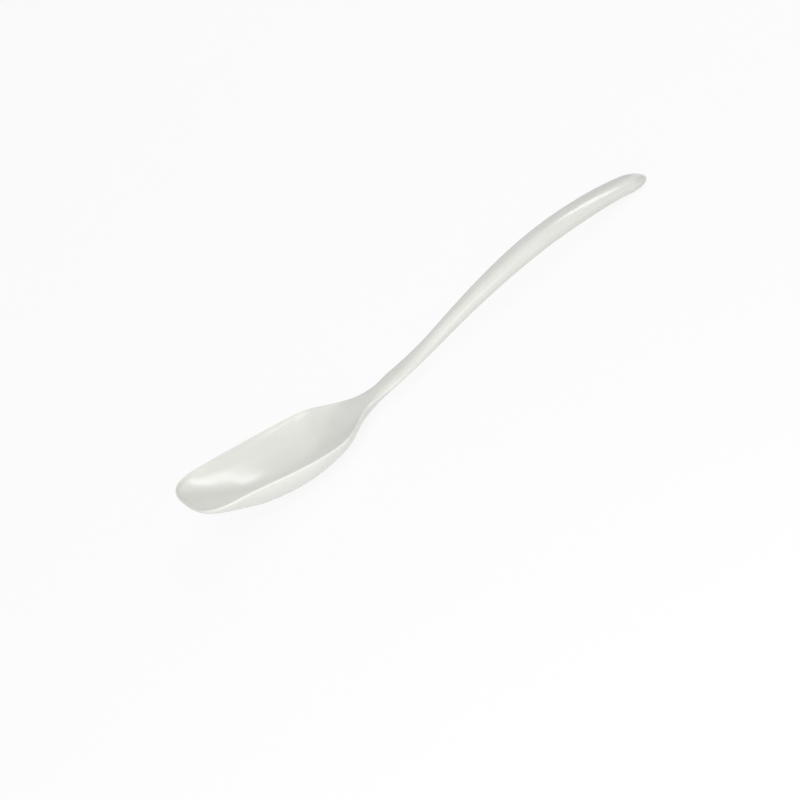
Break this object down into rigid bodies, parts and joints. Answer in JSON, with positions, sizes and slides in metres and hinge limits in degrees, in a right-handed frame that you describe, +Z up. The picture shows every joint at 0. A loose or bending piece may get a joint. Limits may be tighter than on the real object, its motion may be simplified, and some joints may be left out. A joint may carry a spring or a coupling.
{
  "type": "stirring spoon",
  "caption": "Long one-piece stirring spoon with a deep rectangular-oval bowl, a slim neck and an arched solid oval handle.",
  "frame": {"origin": "centre of the spoon's box, on the surface that it lies on: z = 0 touches the keel of the bowl and the underside of the handle's end", "axes": "+X along the spoon from the tip of the bowl to the end of the handle, +Y across it, +Z up out of the open bowl; the XZ plane is the plane of symmetry"},
  "size_m": [0.3058, 0.064, 0.0321],
  "materials": {
    "melamine": "glossy off-white melamine, as it comes from a polished mould"
  },
  "bodies": {
    "root": {"bowl": "melamine", "neck": "melamine", "handle": "melamine"}
  },
  "joints": []
}
